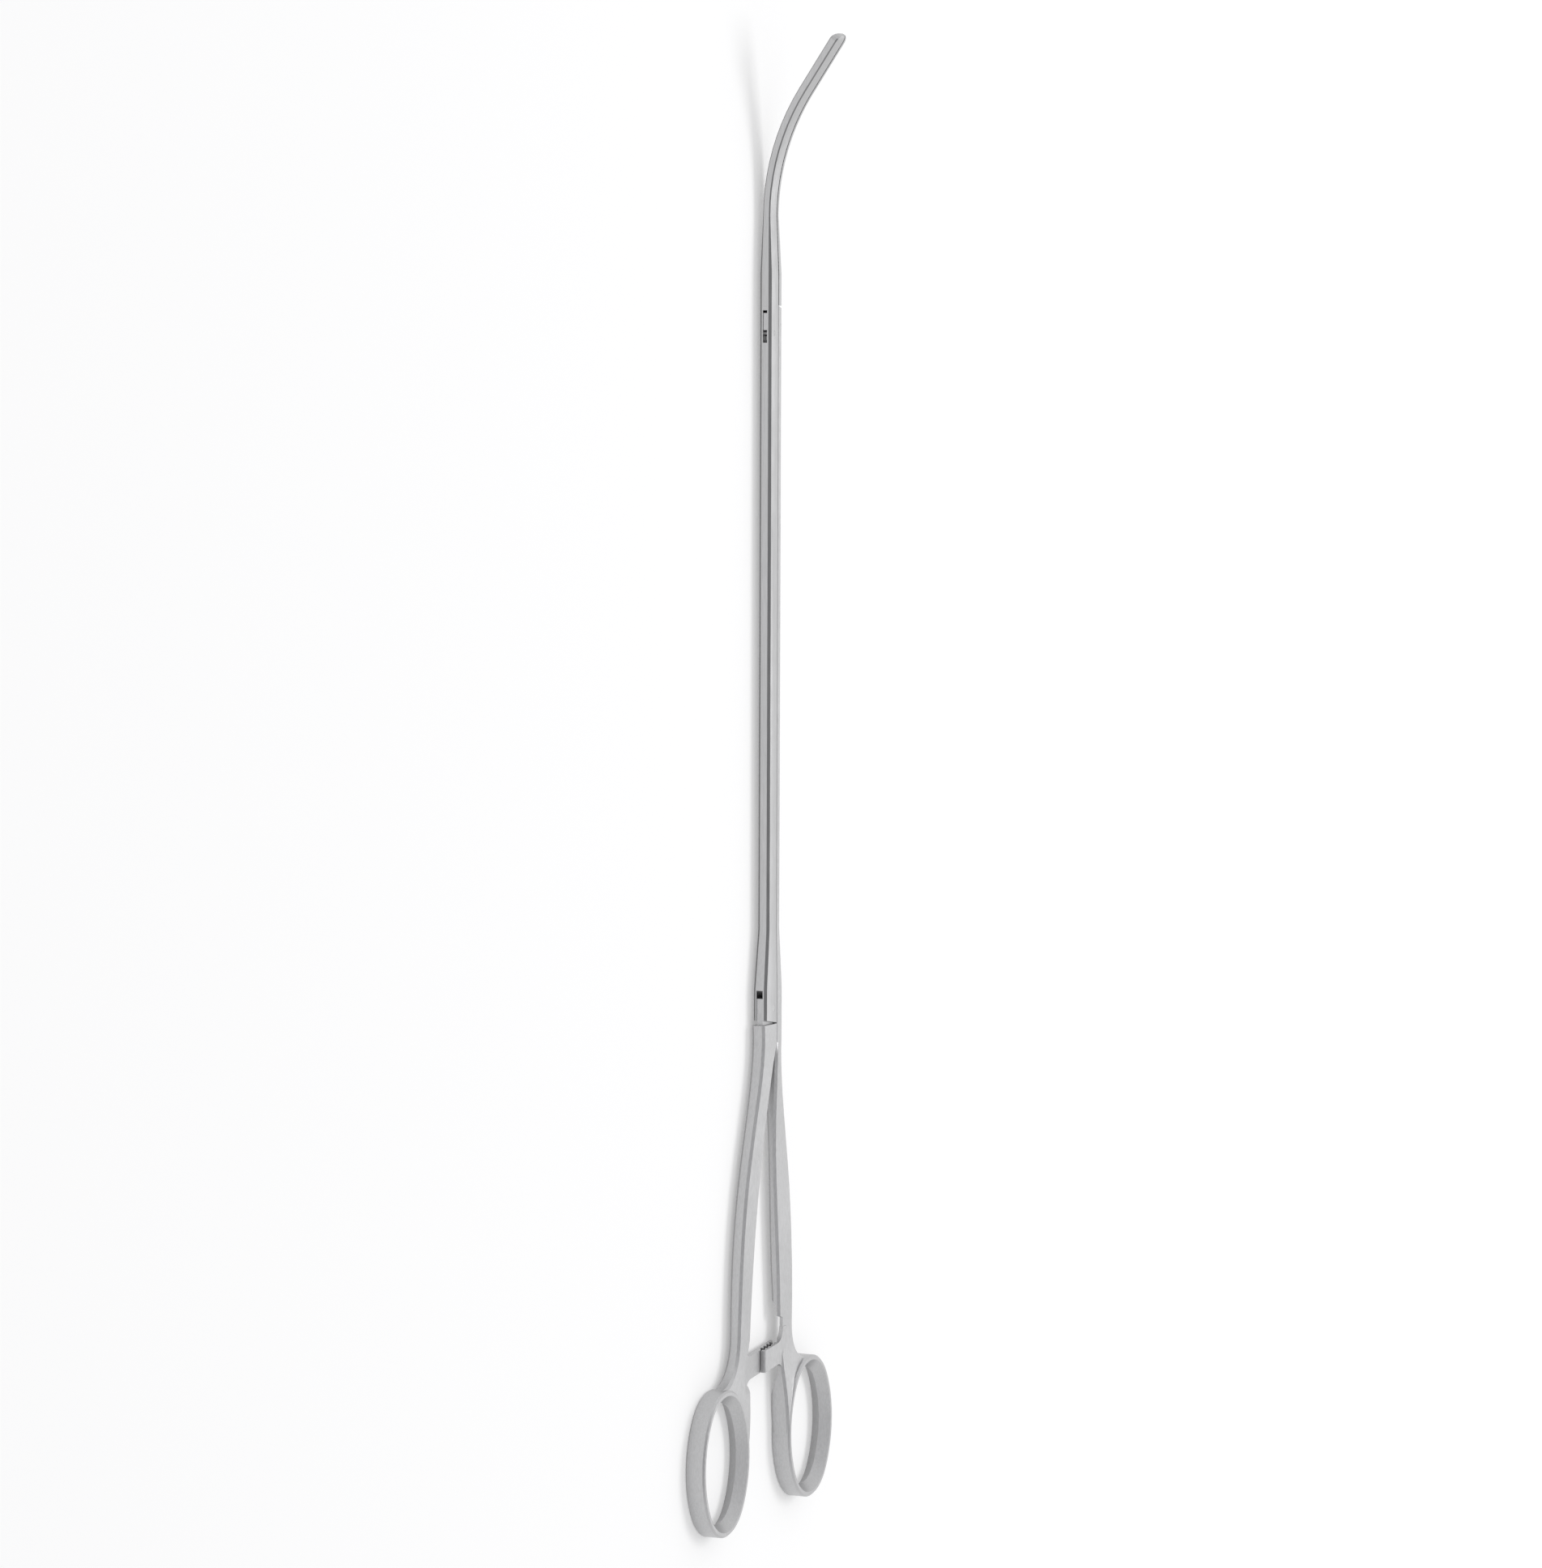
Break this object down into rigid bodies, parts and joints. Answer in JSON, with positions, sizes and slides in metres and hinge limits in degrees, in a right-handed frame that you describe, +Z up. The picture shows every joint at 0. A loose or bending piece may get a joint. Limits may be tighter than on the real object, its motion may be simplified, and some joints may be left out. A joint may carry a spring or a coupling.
{
  "type": "thoracoscopic clamp",
  "caption": "Long surgical clamp with two sliding bars, finger rings, a ratchet lock and slim upturned jaws.",
  "frame": {"origin": "middle of the clamp's footprint, at the height of the finger rings' undersides", "axes": "+X along the shaft towards the jaw tip, +Y towards the hinged lever's ring, +Z up, the way the jaws curve"},
  "size_m": [0.3286, 0.0732, 0.0191],
  "materials": {
    "bar_steel": "satin",
    "jaw_steel": "satin",
    "pin_steel": "ground flush",
    "key_steel": "ground"
  },
  "bodies": {
    "handle_bar_body": {"handle_bar": "bar_steel", "jaw_hinge_pin": "pin_steel", "lever_drive_pin": "pin_steel", "guide_key_rear": "key_steel", "guide_key_middle": "key_steel", "guide_key_front": "key_steel"},
    "jaw_bar_body": {"jaw_bar": "bar_steel", "lever_hinge_pin": "pin_steel", "jaw_drive_pin": "pin_steel"},
    "lever_body": {"lever_handle": "bar_steel"},
    "jaw_body": {"hinged_jaw": "jaw_steel"}
  },
  "joints": [
    {"name": "bar_slide", "type": "slide", "parent": "handle_bar_body", "child": "jaw_bar_body", "axis": [1, 0, 0], "range_m": [0, 0.000912]},
    {"name": "lever_hinge", "type": "hinge", "parent": "jaw_bar_body", "child": "lever_body", "pos_m": [-0.05044, -0.0029, 0.00225], "axis": [0, 0, -1], "range_deg": [0, 15]},
    {"name": "jaw_hinge", "type": "hinge", "parent": "handle_bar_body", "child": "jaw_body", "pos_m": [0.10056, -0.00583, 0.00225], "axis": [0, 0, -1], "range_deg": [0, 15]}
  ],
  "couplings": [
    {"joint": "bar_slide", "follows": "lever_hinge", "m_per_rad": 0.0034824},
    {"joint": "jaw_hinge", "follows": "lever_hinge", "ratio": 1}
  ]
}
